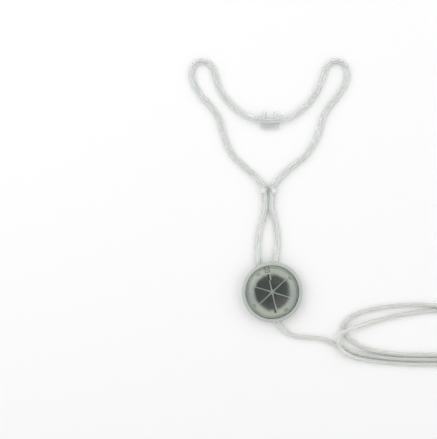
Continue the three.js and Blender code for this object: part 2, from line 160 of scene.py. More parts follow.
def spline(points, step):
    """Points about a step apart on a smooth centripetal curve through the given ones."""
    listed = [Vector(p) for p in points]
    listed.insert(0, 2 * listed[0] - listed[1])
    listed.append(2 * listed[-1] - listed[-2])
    line = []
    for before, start, end, after in zip(listed, listed[1:], listed[2:], listed[3:]):
        pairs = ((before, start), (start, end), (end, after))
        gaps = [max((b - a).length ** 0.5, 1e-4) for a, b in pairs]
        leave = (start - before) / gaps[0] - (end - before) / (gaps[0] + gaps[1]) + (end - start) / gaps[1]
        reach = (end - start) / gaps[1] - (after - start) / (gaps[1] + gaps[2]) + (after - end) / gaps[2]
        leave *= gaps[1]
        reach *= gaps[1]
        count = max(2, round((end - start).length / step))
        for i in range(count):
            t = i / count
            line.append(start + leave * t + (3 * (end - start) - 2 * leave - reach) * t * t
                        + (2 * (start - end) + leave + reach) * t ** 3)
    line.append(listed[-2])
    return line


def rings(path, radii, sides):
    """Points of circles round a path, turned as little as possible from one to the next."""
    points = []
    side = None
    for i, centre in enumerate(path):
        ahead = (path[min(i + 1, len(path) - 1)] - path[max(i - 1, 0)]).normalized()
        if side is None:
            side = ahead.orthogonal()
        side = (side - ahead * side.dot(ahead)).normalized()
        other = ahead.cross(side)
        for k in range(sides):
            angle = 2 * math.pi * k / sides
            points.append(centre + radii[i] * (side * math.cos(angle) + other * math.sin(angle)))
    return points


def rod(name, path, radii, sides):
    """A closed solid rod along a path in millimetres."""
    points = rings(path, radii, sides)
    faces = []
    for i in range(len(path) - 1):
        for k in range(sides):
            a, b = i * sides + k, i * sides + (k + 1) % sides
            faces.append((a, b, b + sides, a + sides))
    faces.append(tuple(reversed(range(sides))))
    faces.append(tuple(range((len(path) - 1) * sides, len(path) * sides)))
    return mesh_from(name, points, faces)


def tube(name, path, outside, inside, sides):
    """A hollow tube along a path, with its wall as thick as the real one."""
    count = len(path)
    points = rings(path, [outside] * count, sides) + rings(path, [inside] * count, sides)
    shift = count * sides
    faces = []
    for i in range(count - 1):
        for k in range(sides):
            a, b = i * sides + k, i * sides + (k + 1) % sides
            faces.append((a, b, b + sides, a + sides))
            faces.append((shift + a, shift + a + sides, shift + b + sides, shift + b))
    last = (count - 1) * sides
    for k in range(sides):
        n = (k + 1) % sides
        faces.append((k, shift + k, shift + n, n))
        faces.append((last + k, last + n, shift + last + n, shift + last + k))
    piece = smooth(mesh_from(name, points, faces), 60)

    # Coordinates that run along the tube, for the lengthwise lines of its material
    along = [0.0]
    for before, after in zip(path, path[1:]):
        along.append(along[-1] + (after - before).length)
    space = piece.data.attributes.new("tube_space", "FLOAT_VECTOR", "POINT")
    for i, vertex in enumerate(space.data):
        angle = 2 * math.pi * (i % sides) / sides
        vertex.vector = (outside * MM * math.cos(angle), outside * MM * math.sin(angle),
                         along[i // sides % count] * MM)
    return piece


def turned(name, profile, segments=160):
    """A solid turned about the vertical axis from [radius, height] pairs."""
    points = []
    faces = []
    rows = []
    for radius, height in profile:
        if radius == 0:
            rows.append([len(points)] * segments)
            points.append((0, 0, height))
            continue
        rows.append(list(range(len(points), len(points) + segments)))
        for k in range(segments):
            angle = 2 * math.pi * k / segments
            points.append((radius * math.cos(angle), radius * math.sin(angle), height))
    for lower, upper in zip(rows, rows[1:]):
        for k in range(segments):
            n = (k + 1) % segments
            corners = list(dict.fromkeys((lower[k], lower[n], upper[n], upper[k])))
            if len(corners) > 2:
                faces.append(corners)
    return outward(mesh_from(name, points, faces))


def round_array_tree():
    """Nodes that set copies of a piece round the vertical axis and make them real."""
    tree = bpy.data.node_groups.new("round_array", "GeometryNodeTree")
    for name, kind in (("Geometry", "NodeSocketGeometry"), ("Count", "NodeSocketInt"),
                       ("First Angle", "NodeSocketFloat"), ("Material", "NodeSocketMaterial")):
        tree.interface.new_socket(name, in_out="INPUT", socket_type=kind)
    tree.interface.new_socket("Geometry", in_out="OUTPUT", socket_type="NodeSocketGeometry")
    given = put(tree, "NodeGroupInput").outputs
    places = put(tree, "GeometryNodePoints", [("Count", given["Count"])])
    step = put(tree, "ShaderNodeMath", [(1, given["Count"])], operation="DIVIDE", i0=2 * math.pi)
    number = put(tree, "GeometryNodeInputIndex")
    angle = put(tree, "ShaderNodeMath", [(0, number.outputs["Index"]), (1, step.outputs["Value"]),
                                         (2, given["First Angle"])], operation="MULTIPLY_ADD")
    turn = put(tree, "ShaderNodeCombineXYZ", [("Z", angle.outputs["Value"])])
    rotation = put(tree, "FunctionNodeEulerToRotation", [("Euler", turn.outputs["Vector"])])
    copies = put(tree, "GeometryNodeInstanceOnPoints", [("Points", places.outputs[0]),
                                                        ("Instance", given["Geometry"]),
                                                        ("Rotation", rotation.outputs["Rotation"])])
    real = put(tree, "GeometryNodeRealizeInstances", [("Geometry", copies.outputs["Instances"])])
    coloured = put(tree, "GeometryNodeSetMaterial", [("Geometry", real.outputs["Geometry"]),
                                                     ("Material", given["Material"])])
    put(tree, "NodeGroupOutput", [("Geometry", coloured.outputs["Geometry"])])
    return tree


def set_round(piece, tree, count, first_angle, material):
    """Repeats a piece round the pendant's centre, the first copy at an angle in degrees."""
    values = {"Count": count, "First Angle": math.radians(first_angle), "Material": material}
    modifier = piece.modifiers.new("round", "NODES")
    modifier.node_group = tree
    for item in tree.interface.items_tree:
        if item.name in values:
            modifier[item.identifier] = values[item.name]
    return applied(piece)


def rounded(profile, radius, steps):
    """The same profile with every corner but its two ends rounded."""
    most_of_a_side = 0.45
    result = [profile[0]]
    for before, corner, after in zip(profile, profile[1:], profile[2:]):
        a = Vector(before) - Vector(corner)
        b = Vector(after) - Vector(corner)
        reach = min(radius, most_of_a_side * a.length, most_of_a_side * b.length)
        start = Vector(corner) + a.normalized() * reach
        end = Vector(corner) + b.normalized() * reach
        for i in range(steps + 1):
            t = i / steps
            point = (1 - t) ** 2 * start + 2 * t * (1 - t) * Vector(corner) + t * t * end
            result.append((point.x, point.y))
    result.append(profile[-1])
    return result


# Materials

PVC_REFRACTION = 1.53
SOFT_REFRACTION = 1.2


def coordinates(tree, attribute):
    """Object coordinates, or the lengthwise ones that a tube carries."""
    if attribute:
        return put(tree, "ShaderNodeAttribute", attribute_name=attribute).outputs["Vector"]
    return put(tree, "ShaderNodeTexCoord").outputs["Object"]


def clear_pvc(name, tint, haze, roughness, attribute=None):
    """Clear plasticised PVC: glossy and a little milky. Extruded tubing has faint lengthwise lines.

    The body bends light less than the real plastic, so that walls and bores show through each other.
    The gloss on top has the real plastic's own refraction.
    """
    material, tree = new_material(name)
    place = coordinates(tree, attribute)
    stretch = put(tree, "ShaderNodeMapping", [("Vector", place)],
                  Scale=(1, 1, 0.04) if attribute else (1, 1, 1))
    lines = put(tree, "ShaderNodeTexNoise", [("Vector", stretch.outputs["Vector"])],
                Scale=900.0, Detail=2.0)
    bump = put(tree, "ShaderNodeBump", [("Height", lines.outputs["Fac"])], Strength=0.03, Distance=0.0002)
    shell = put(tree, "ShaderNodeBsdfPrincipled", [("Normal", bump.outputs["Normal"])],
                Base_Color=srgb(tint), Roughness=roughness, IOR=SOFT_REFRACTION,
                Transmission_Weight=1.0 - haze,
                Coat_Weight=1.0, Coat_Roughness=0.05, Coat_IOR=PVC_REFRACTION)
    put(tree, "ShaderNodeOutputMaterial", [("Surface", shell.outputs["BSDF"])])
    return material


def milky_moulding():
    """White soft vinyl, injection moulded: milky, satin, with a little light inside."""
    material, tree = new_material("white_soft_vinyl_moulded")
    place = put(tree, "ShaderNodeTexCoord")
    grain = put(tree, "ShaderNodeTexNoise", [("Vector", place.outputs["Object"])], Scale=700.0, Detail=3.0)
    tone = put(tree, "ShaderNodeMixRGB", [("Fac", grain.outputs["Fac"])],
               Color1=srgb("#d5d9d6"), Color2=srgb("#e6e9e6"))
    bump = put(tree, "ShaderNodeBump", [("Height", grain.outputs["Fac"])], Strength=0.12, Distance=0.0003)
    shell = put(tree, "ShaderNodeBsdfPrincipled",
                [("Base Color", tone.outputs["Color"]), ("Normal", bump.outputs["Normal"])],
                Roughness=0.38, IOR=1.5, Subsurface_Weight=0.25, Subsurface_Scale=0.003)
    put(tree, "ShaderNodeOutputMaterial", [("Surface", shell.outputs["BSDF"])])
    return material


def styrene(name, tint, clear, roughness):
    """Styrene, moulded: clear or frosted, with a fine mould grain and a faint green-grey cast."""
    material, tree = new_material(name)
    place = put(tree, "ShaderNodeTexCoord")
    grain = put(tree, "ShaderNodeTexNoise", [("Vector", place.outputs["Object"])],
                Scale=1200.0, Detail=2.0)
    bump = put(tree, "ShaderNodeBump", [("Height", grain.outputs["Fac"])], Strength=0.04, Distance=0.0002)
    shell = put(tree, "ShaderNodeBsdfPrincipled", [("Normal", bump.outputs["Normal"])],
                Base_Color=srgb(tint), Roughness=roughness, IOR=1.57, Transmission_Weight=clear)
    put(tree, "ShaderNodeOutputMaterial", [("Surface", shell.outputs["BSDF"])])
    return material


def ring_colours(tree, radius, rings_by_radius):
    """Colours by distance from the pendant's centre, from [radius in millimetres, hex] pairs."""
    outer = rings_by_radius[-1][0]
    share = put(tree, "ShaderNodeMapRange", [("Value", radius)], From_Max=outer * MM)
    ramp = put(tree, "ShaderNodeValToRGB", [("Fac", share.outputs["Result"])])
    stops = ramp.color_ramp.elements
    stops[0].color = srgb(rings_by_radius[0][1])
    stops[1].color = srgb(rings_by_radius[-1][1])
    for distance, colour in rings_by_radius[1:-1]:
        stops.new(distance / outer).color = srgb(colour)
    return ramp.outputs["Color"]


def membrane_film():
    """Thin elastomer film, milky where it thickens, with painted shade and light: a mottled dark middle, a
    rim lighter above and below the centre, and dark rings.
    """
    material, tree = new_material("elastomer_film_moulded")
    place = put(tree, "ShaderNodeTexCoord").outputs["Object"]
    flat_place = put(tree, "ShaderNodeVectorMath", [(0, place)], operation="MULTIPLY", i1=(1, 1, 0))
    radius = put(tree, "ShaderNodeVectorMath", [(0, flat_place.outputs["Vector"])], operation="LENGTH")

    # The soft edge of the milky rim wanders by a few millimetres
    patch = put(tree, "ShaderNodeTexNoise", [("Vector", place)], Scale=70.0, Detail=3.0)
    wandering = 7.0 * MM
    wander = put(tree, "ShaderNodeMath", [(0, patch.outputs["Fac"])],
                 operation="MULTIPLY_ADD", i1=wandering, i2=-wandering / 2)
    inner_edge = put(tree, "ShaderNodeMath", [(0, radius.outputs["Value"]), (1, wander.outputs["Value"])],
                     operation="ADD")
    milk = put(tree, "ShaderNodeMapRange", [("Value", inner_edge.outputs["Value"])],
               From_Min=22.0 * MM, From_Max=29.5 * MM, interpolation_type="SMOOTHSTEP")

    # Middle: painted shade in cool and warm dark patches, the darkness seen through the clear film
    cool = put(tree, "ShaderNodeMixRGB", [("Fac", patch.outputs["Fac"])],
               Color1=srgb("#28322f"), Color2=srgb("#47524f"))
    warmth = put(tree, "ShaderNodeTexNoise", [("Vector", place)], Scale=38.0, Detail=1.0)
    warm_share = put(tree, "ShaderNodeMapRange", [("Value", warmth.outputs["Fac"])],
                     From_Min=0.48, From_Max=0.62)
    middle = put(tree, "ShaderNodeMixRGB", [("Fac", warm_share.outputs["Result"]),
                                            ("Color1", cool.outputs["Color"])],
                 Color2=srgb("#57544d"))

    # Rim: painted light, whiter and greener above and below the centre, and bluer grey at its sides
    split = put(tree, "ShaderNodeSeparateXYZ", [("Vector", place)])
    height = put(tree, "ShaderNodeMath", [(0, split.outputs["Y"])], operation="ABSOLUTE")
    painted_light_share = put(tree, "ShaderNodeMapRange", [("Value", height.outputs["Value"])],
                 From_Min=4.0 * MM, From_Max=28.0 * MM)
    milky = put(tree, "ShaderNodeMixRGB", [("Fac", painted_light_share.outputs["Result"])],
                Color1=srgb("#ced7d4"), Color2=srgb("#eaefe1"))
    rim = put(tree, "ShaderNodeMixRGB", [("Color1", milky.outputs["Color"]), ("Fac", patch.outputs["Fac"])],
              blend_type="SOFT_LIGHT", Color2=srgb("#b4bbb1"))
    body = put(tree, "ShaderNodeMixRGB", [("Fac", milk.outputs["Result"]),
                                          ("Color1", middle.outputs["Color"]),
                                          ("Color2", rim.outputs["Color"])])

    # Painted shade: a dark ring where the film tucks under its clamping ring, and a fainter painted shade
    # ring inside it
    painted_fold_shade = ring_colours(tree, radius.outputs["Value"], [
        (0, "#ffffff"), (34.1, "#ffffff"), (34.5, "#d4d6d1"), (34.9, "#ffffff"),
        (36.1, "#ffffff"), (36.35, "#2c302b"), (37.15, "#2c302b"), (37.4, "#ffffff"), (40.0, "#ffffff")])
    shade = put(tree, "ShaderNodeMixRGB", [("Color1", body.outputs["Color"]), ("Color2", painted_fold_shade)],
                blend_type="MULTIPLY", Fac=1.0)
    shell = put(tree, "ShaderNodeBsdfPrincipled", [("Base Color", shade.outputs["Color"])],
                Roughness=0.5, IOR=1.45)
    put(tree, "ShaderNodeOutputMaterial", [("Surface", shell.outputs["BSDF"])])
    return material


def elastomer_ridge(name, dark, pale):
    """The same elastomer where it is moulded thicker, satin and a little uneven in tone."""
    material, tree = new_material(name)
    place = put(tree, "ShaderNodeTexCoord")
    patch = put(tree, "ShaderNodeTexNoise", [("Vector", place.outputs["Object"])],
                Scale=300.0, Detail=2.0)
    tone = put(tree, "ShaderNodeMixRGB", [("Fac", patch.outputs["Fac"])],
               Color1=srgb(dark), Color2=srgb(pale))
    shell = put(tree, "ShaderNodeBsdfPrincipled", [("Base Color", tone.outputs["Color"])],
                Roughness=0.35, IOR=1.45)
    put(tree, "ShaderNodeOutputMaterial", [("Surface", shell.outputs["BSDF"])])
    return material


def studio_paper():
    """Matt white paper sweep under the object, with the faintest fibre unevenness."""
    material, tree = new_material("studio_paper")
    place = put(tree, "ShaderNodeTexCoord")
    fibre = put(tree, "ShaderNodeTexNoise", [("Vector", place.outputs["Object"])], Scale=400.0, Detail=2.0)
    tone = put(tree, "ShaderNodeMixRGB", [("Fac", fibre.outputs["Fac"])],
               Color1=srgb("#efefee"), Color2=srgb("#f3f3f3"))
    shell = put(tree, "ShaderNodeBsdfPrincipled", [("Base Color", tone.outputs["Color"])], Roughness=0.9)
    put(tree, "ShaderNodeOutputMaterial", [("Surface", shell.outputs["BSDF"])])
    return material


TUBING = clear_pvc("clear_pvc_extruded", "#fbfdfb", 0.27, 0.03, "tube_space")
SUPPLY_TUBING = clear_pvc("clear_pvc_supply_extruded", "#fbfcf9", 0.33, 0.03, "tube_space")
SOFT_CLEAR = clear_pvc("clear_soft_pvc_moulded", "#fbfdfc", 0.18, 0.03)
WHITE_VINYL = milky_moulding()
SHELL = styrene("frosted_styrene_moulded", "#d3d8d1", 0.15, 0.3)
RIM = styrene("frosted_styrene_rim_moulded", "#bcc3bd", 0.12, 0.16)
COVER = styrene("clear_styrene_moulded", "#fafcfa", 0.98, 0.03)
FILM = membrane_film()
RIDGE = elastomer_ridge("elastomer_ridge_moulded", "#9fc0b6", "#cbe2da")
PALE_FOLD = elastomer_ridge("elastomer_fold_moulded", "#bcc3b7", "#d9ded3")
# Painted shade: the slot material is near black to stand for the shade in the film's slots
PAINTED_SHADE_SLOT = elastomer_ridge("elastomer_slot_painted_shade", "#23241f", "#3a3b34")
OCHRE_FOLD = elastomer_ridge("elastomer_lip_moulded", "#79724f", "#948e6c")
PAPER = studio_paper()


# Camera, floor and light

FRAME_PIXELS = (437, 439)
MM_PER_PIXEL = 1.4
PENDANT_PIXEL = (271.9, 291.7)
LENS = 85.0
SENSOR = 36.0


def make_camera():
    """Straight above the cannula, framed as the photograph frames it."""
    height = FRAME_PIXELS[1] * MM_PER_PIXEL
    data = bpy.data.cameras.new("camera")
    data.sensor_width = SENSOR
    data.lens = LENS
    camera = add_object("camera", data)
    camera.location = (
        (FRAME_PIXELS[0] / 2 - PENDANT_PIXEL[0]) * MM_PER_PIXEL * MM,
        (PENDANT_PIXEL[1] - FRAME_PIXELS[1] / 2) * MM_PER_PIXEL * MM,
        (height * LENS / SENSOR + CANNULA_RADIUS) * MM,
    )
    bpy.context.scene.camera = camera


def make_stage():
    """A floor so wide that no view sees its edge."""
    reach = 20000
    corners = [(-reach, -reach, 0), (reach, -reach, 0), (reach, reach, 0), (-reach, reach, 0)]
    floor = mesh_from("floor", corners, [(0, 1, 2, 3)])
    floor.data.materials.append(PAPER)


def make_light(name, place, size, power):
    """A soft panel that faces the middle of the cannula. Its size is in metres, its power in watts."""
    target = (0, 100, 0)
    data = bpy.data.lights.new(name, "AREA")
    data.shape = "RECTANGLE"
    data.size, data.size_y = size
    data.energy = power
    light = add_object(name, data)
    light.location = Vector(place) * MM
    light.rotation_euler = (Vector(place) - Vector(target)).to_track_quat("Z", "Y").to_euler()


def make_world():
    """A pale studio: grey at the horizon, white above, and a dark card overhead."""
    card = srgb("#4c4e50")
    white = srgb("#ffffff")
    world = bpy.data.worlds.new("studio")
    world.use_nodes = True
    bpy.context.scene.world = world
    tree = world.node_tree
    back = tree.nodes["Background"]
    place = put(tree, "ShaderNodeTexCoord")
    split = put(tree, "ShaderNodeSeparateXYZ", [("Vector", place.outputs["Generated"])])
    # The card keeps the pendant's flat window from going pale, seen from straight above
    sky = put(tree, "ShaderNodeValToRGB", [("Fac", split.outputs["Z"])])
    stops = sky.color_ramp.elements
    stops[0].color = srgb("#aeb2b4")
    stops[1].color = card
    for height, colour in ((0.6, white), (0.93, white), (0.965, card)):
        stops.new(height).color = colour
    tree.links.new(sky.outputs["Color"], back.inputs["Color"])
    back.inputs["Strength"].default_value = 0.95


make_camera()
make_stage()
make_world()
make_light("key_left", (-1100, 500, 1300), (1.2, 1.8), 8)
make_light("fill_right", (1200, 200, 1200), (1.0, 1.6), 4.5)
make_light("top_back", (0, 1500, 1100), (2.0, 0.8), 3.5)
bpy.context.scene.view_settings.view_transform = "Standard"


# Cords: the two cannula tubes and the supply tube, on the construction's own routes

LEFT_FACE = [(-47.7, 254.0), (-62.6, 268.7), (-73.2, 284.5), (-79.2, 302.0)]
LEFT_EAR = [(-83.5, 314.0), (-91.5, 321.8), (-101.5, 322.6), (-109.8, 316.0), (-112.4, 304.5)]
LEFT_NECK = [(-108.4, 289.5), (-99.0, 274.0), (-86.5, 260.5), (-76.0, 246.0), (-69.8, 227.5),
             (-63.6, 208.3), (-54.2, 190.8), (-40.2, 176.6), (-26.6, 164.6), (-15.6, 152.8)]
LEFT_CHEST = [(-12.0, 105.3), (-15.8, 92.4), (-18.5, 78.4), (-20.0, 62.6)]
RIGHT_FACE = [(34.7, 249.9), (51.7, 264.5), (64.6, 283.8), (71.9, 302.0)]
RIGHT_EAR = [(76.4, 314.0), (84.4, 321.8), (94.4, 322.6), (102.7, 316.0), (105.3, 304.5)]
RIGHT_NECK = [(101.3, 289.5), (92.2, 274.0), (81.0, 260.5), (72.4, 246.0), (67.0, 227.5),
              (59.4, 208.8), (46.2, 189.8), (30.6, 177.0), (16.6, 165.2), (5.5, 152.8)]
RIGHT_CHEST = [(2.2, 105.3), (5.6, 92.4), (7.5, 78.4), (7.6, 62.6)]
LEFT_PORT_X = -19.3
RIGHT_PORT_X = 4.9
OUTLET = (7.1, -41.0)
OUTLET_ANGLE = math.radians(-60)
NASAL_LEAD = 10.0
SLIDER_LEAD = 1.0
STRAIGHT_LENGTH = SLIDER_TRAVEL + 3
PORT_LEAD = 7.0
CONNECTOR_LEAD = 8.0
CONNECTOR_SEAT = 11.7

LEAD = [(22.8, -58.5), (35.4, -62.6), (49.7, -63.9), (65.5, -65.2), (77.6, -68.6), (86.3, -72.4),
        (96.0, -76.6), (105.0, -80.6), (119.3, -85.7), (150.0, -91.5), (190.0, -94.6), (231.0, -95.0),
        (300.0, -95.0)]
FIRST_LOOP = [(300.0, -19.5), (231.0, -19.5), (204.5, -18.2), (173.0, -19.9), (141.4, -24.6),
              (118.5, -31.6), (105.0, -40.0), (99.6, -50.5), (103.4, -61.5), (114.0, -70.5),
              (130.3, -79.0), (157.2, -85.2), (188.7, -88.3), (231.0, -88.55), (300.0, -88.55)]
SECOND_LOOP = [(300.0, -26.05), (231.0, -26.3), (204.5, -28.8), (173.0, -34.1), (141.4, -42.0),
               (118.6, -48.6), (103.0, -54.4), (94.0, -61.6), (92.0, -70.0), (95.6, -78.6),
               (104.6, -86.6), (119.5, -92.9), (150.0, -98.1), (190.0, -101.1), (231.0, -101.7),
               (262.0, -101.9), (296.3, -101.9)]
TAIL = [(316.0, -102.6), (336.0, -106.6), (354.0, -112.4)]
SETTLE_SHARES = (0.3, 0.05)
HUMP = 6.1
HUMP_START = (141.4, -42.0)
HUMP_END = (119.5, -92.9)
HUMP_SHARES = (0.03, 0.12, 0.7)


def flat(points, height):
    return [(x, y, height) for x, y in points]


def between(low, high, share):
    """The height that lies a share of the way from a low one to a high one."""
    return (1 - share) * low + share * high


def settled(points, radius, start_height, end_height):
    """A tube on the floor that eases up towards a higher start or end, and never dips below the floor."""
    result = [[x, y, radius] for x, y in points]
    for i, share in enumerate(SETTLE_SHARES):
        result[i][2] += share * (start_height - radius)
        result[-1 - i][2] += share * (end_height - radius)
    return result


def nasal_end(side, distance):
    """A point straight on from one end of the nasal piece."""
    angle = NASAL_LENGTH / 2 / FACE_RADIUS
    return (NASAL_X + side * (FACE_RADIUS * math.sin(angle) + distance * math.cos(angle)),
            NASAL_Y + FACE_RADIUS * (1 - math.cos(angle)) + distance * math.sin(angle), NASAL_HEIGHT)


def cannula_route(side, face, ear, neck, chest, port_x):
    """From the nasal piece over the ear loop, through the slider and into the pendant."""
    x = SLIDER_X + side * TUBE_OFFSET
    wall_y = math.sqrt(BACK_RADIUS ** 2 - port_x ** 2)
    start_y = SLIDER_Y - SLIDER_HALF_LENGTH + SLIDER_LEAD
    straight = [(x, start_y - STRAIGHT_LENGTH * i / 4, PORT_HEIGHT) for i in range(5)]
    return [
        nasal_end(side, SEAT_GAP),
        nasal_end(side, NASAL_LEAD),
        *settled(face + ear + neck[:-1], CANNULA_RADIUS, NASAL_HEIGHT, PORT_HEIGHT),
        (*neck[-1], between(CANNULA_RADIUS, PORT_HEIGHT, 0.7)),
        (x + side * 1.5, SLIDER_Y + SLIDER_HALF_LENGTH, PORT_HEIGHT),
        *straight,
        (*chest[0], between(CANNULA_RADIUS, PORT_HEIGHT, 0.55)),
        *settled(chest[1:], CANNULA_RADIUS, PORT_HEIGHT, PORT_HEIGHT),
        (port_x, wall_y + PORT_LEAD, PORT_HEIGHT),
        (port_x, wall_y, PORT_HEIGHT),
        (port_x, wall_y - TUBE_DEPTH, PORT_HEIGHT),
    ]


def outlet_at(distance):
    """A point on the outlet's axis, by its distance out from the pendant's wall."""
    return (OUTLET[0] + distance * math.cos(OUTLET_ANGLE),
            OUTLET[1] + distance * math.sin(OUTLET_ANGLE), PORT_HEIGHT)


def far_turn(radius):
    """The half circle where a loop comes back, out of the picture."""
    steps = 12
    turn = []
    for i in range(steps + 1):
        angle = math.pi * (i / steps - 0.5)
        turn.append((COIL_END_X + radius * math.cos(angle), COIL_END_Y + radius * math.sin(angle),
                     SUPPLY_RADIUS))
    return turn


def lifted(points):
    """Heights of the last loop: it rides over the strands that it crosses in one long low hump."""
    first = points.index(HUMP_START)
    last = points.index(HUMP_END)
    result = []
    for i, (x, y) in enumerate(points):
        inwards = min(i - first, last - i) + 1
        share = 0 if inwards < 0 else 1 if inwards > 2 else HUMP_SHARES[inwards]
        result.append((x, y, SUPPLY_RADIUS + HUMP * share))
    return result


def supply_route():
    """The lead, two loose loops that close out of the picture, and the tail to the connector."""
    return [
        outlet_at(-TUBE_DEPTH), outlet_at(-4), outlet_at(1),
        (13.6, -50.9, between(SUPPLY_RADIUS, PORT_HEIGHT, 0.6)),
        *settled(LEAD, SUPPLY_RADIUS, PORT_HEIGHT, SUPPLY_RADIUS), *far_turn(COIL_OUTER_TURN),
        *flat(FIRST_LOOP, SUPPLY_RADIUS), *far_turn(COIL_INNER_TURN),
        *lifted(SECOND_LOOP), *settled(TAIL, SUPPLY_RADIUS, SUPPLY_RADIUS, CONNECTOR_HEIGHT),
        (CONNECTOR_X - CONNECTOR_LEAD, CONNECTOR_Y, CONNECTOR_HEIGHT),
        (CONNECTOR_X, CONNECTOR_Y, CONNECTOR_HEIGHT),
        (CONNECTOR_X + CONNECTOR_SEAT, CONNECTOR_Y, CONNECTOR_HEIGHT),
    ]


def lay_cannula_tube(name, route):
    step, sides = 1.6, 28
    path = spline(route, step)
    piece = tube(name, path, CANNULA_RADIUS, CANNULA_BORE_RADIUS, sides)
    piece.data.materials.append(TUBING)
    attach(piece, "cannula")
    return piece


left_tube = lay_cannula_tube(
    "left_ear_tube", cannula_route(-1, LEFT_FACE, LEFT_EAR, LEFT_NECK, LEFT_CHEST, LEFT_PORT_X))
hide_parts("cannula_tube_left")
right_tube = lay_cannula_tube(
    "right_ear_tube", cannula_route(1, RIGHT_FACE, RIGHT_EAR, RIGHT_NECK, RIGHT_CHEST, RIGHT_PORT_X))
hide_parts("cannula_tube_right")


# Nasal piece: body, prongs and lip tab moulded as one

PRONG_SPACING = 16.8
PRONG_RADIUS = 2.4
PRONG_BORE_RADIUS = 1.6
PRONG_LENGTH = 12.5
PRONG_DROP = 2.9
PRONG_LEAN = 0.8
PRONG_FOOT_FLARE = 0.9
PRONG_STEPS = 12
BODY_RADIUS = 4.3
BODY_BORE_RADIUS = 2.8
BODY_END_TAPER = 0.25
BODY_TAPER_START = 0.55
BODY_HALF_STEPS = 12


def nasal_arc(half_length):
    """Points along the body's curve, evenly spaced, from its left to its right end."""
    points = []
    for i in range(2 * BODY_HALF_STEPS + 1):
        angle = (i / BODY_HALF_STEPS - 1) * half_length / FACE_RADIUS
        points.append(Vector((NASAL_X + FACE_RADIUS * math.sin(angle),
                              NASAL_Y + FACE_RADIUS * (1 - math.cos(angle)), NASAL_HEIGHT)))
    return points


def prong_path(side, start, extra):
    """A prong's axis: it curves back towards the face and leans a little to the middle."""
    offset = side * PRONG_SPACING / 2
    base_y = NASAL_Y + FACE_RADIUS * (1 - math.cos(offset / FACE_RADIUS))
    points = []
    for i in range(PRONG_STEPS + 1):
        along = start + (PRONG_LENGTH + extra - start) * i / PRONG_STEPS
        share = max(along, 0) / PRONG_LENGTH
        points.append(Vector((NASAL_X + offset - side * PRONG_LEAN * share, base_y + along,
                              NASAL_HEIGHT - PRONG_DROP * share * share)))
    return points


def join(pieces):
    """One mesh from several overlapping closed ones, for the remesh that follows."""
    work = bmesh.new()
    for piece in pieces:
        work.from_mesh(piece.data)
    mesh = bpy.data.meshes.new(pieces[0].name)
    work.to_mesh(mesh)
    work.free()
    name = pieces[0].name
    for piece in pieces:
        bpy.data.objects.remove(piece)
    return add_object(name, mesh)


def moulded(thing, voxel, passes):
    """Fuses overlapping forms and softens the seams between them, as a mould does."""
    fuse = thing.modifiers.new("fuse", "REMESH")
    fuse.mode = "VOXEL"
    fuse.voxel_size = voxel * MM
    soften = thing.modifiers.new("soften", "SMOOTH")
    soften.factor = 0.5
    soften.iterations = passes
    return applied(thing)


def lip_tab():
    """A thin tongue below the body that rests on the upper lip."""
    half = 13.5
    length = 12.7
    corner = 5.0
    bottom = NASAL_HEIGHT - 3.7
    thickness = 1.6
    outline = [(-half, 0)]
    for centre_x, first in ((-half + corner, 180), (half - corner, 270)):
        for i in range(7):
            angle = math.radians(first + 15 * i)
            outline.append((centre_x + corner * math.cos(angle),
                            corner - length + corner * math.sin(angle)))
    outline.append((half, 0))
    count = len(outline)
    points = [(NASAL_X + x, NASAL_Y + y, bottom) for x, y in outline]
    points += [(NASAL_X + x, NASAL_Y + y, bottom + thickness) for x, y in outline]
    faces = [tuple(reversed(range(count))), tuple(range(count, 2 * count))]
    faces += [(k, (k + 1) % count, count + (k + 1) % count, count + k) for k in range(count)]
    return outward(mesh_from("lip_tab", points, faces))


def make_nasal_piece():
    arc = nasal_arc(NASAL_LENGTH / 2)
    widths = []
    for i in range(len(arc)):
        from_middle = abs(i / BODY_HALF_STEPS - 1)
        taper = max(0, from_middle - BODY_TAPER_START) / (1 - BODY_TAPER_START)
        widths.append(BODY_RADIUS - BODY_END_TAPER * taper)
    prong_radii = [PRONG_RADIUS + PRONG_FOOT_FLARE * math.exp(-i / 2.2) for i in range(PRONG_STEPS + 1)]
    forms = [rod("nasal_piece", arc, widths, 40), lip_tab()]
    for side in (-1, 1):
        forms.append(rod("prong", prong_path(side, 0, -0.15), prong_radii, 32))
    piece = moulded(join(forms), 0.28, 5)
    for side in (-1, 1):
        bore = prong_path(side, 0.5, 1)
        cut(piece, rod("prong_bore", bore, [PRONG_BORE_RADIUS] * len(bore), 24))
    bore = nasal_arc(NASAL_LENGTH / 2 + 1)
    cut(piece, rod("body_bore", bore, [BODY_BORE_RADIUS] * len(bore), 32))
    smooth(piece, 40)
    piece.data.materials.append(SOFT_CLEAR)
    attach(piece, "cannula")
    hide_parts("nasal_prongs")


make_nasal_piece()


# Slider: a flat sleeve with two thick white sides and a thin clear bridge

SLEEVE_HALF_WIDTH = 9.6
SLEEVE_HALF_LENGTH = 3.1
SLEEVE_BOTTOM = 0.3
SLEEVE_TOP = 10.2
LOBE_CENTRE = 7.9
LOBE_SHAPE = ((-3.9, 2.5), (-3.3, 3.0), (-1.5, 3.2), (0, 3.25), (1.5, 3.2), (3.3, 3.0), (3.9, 2.5))
LOBE_TALLNESS = 1.58
BRIDGE_HALF_WIDTH = 4.6
PASSAGE_HALF_HEIGHT = 3.95
PASSAGE_SHAPE = ((-6, 7.8), (-4, 7.8), (4, 10.0), (6, 10.0))


def block(name, low, high):
    """A plain closed form between two corners, to be fused or cut."""
    (x0, y0, z0), (x1, y1, z1) = low, high
    points = [(x, y, z) for x in (x0, x1) for y in (y0, y1) for z in (z0, z1)]
    faces = [(0, 1, 3, 2), (4, 6, 7, 5), (0, 4, 5, 1), (2, 3, 7, 6), (0, 2, 6, 4), (1, 5, 7, 3)]
    return outward(mesh_from(name, points, faces))


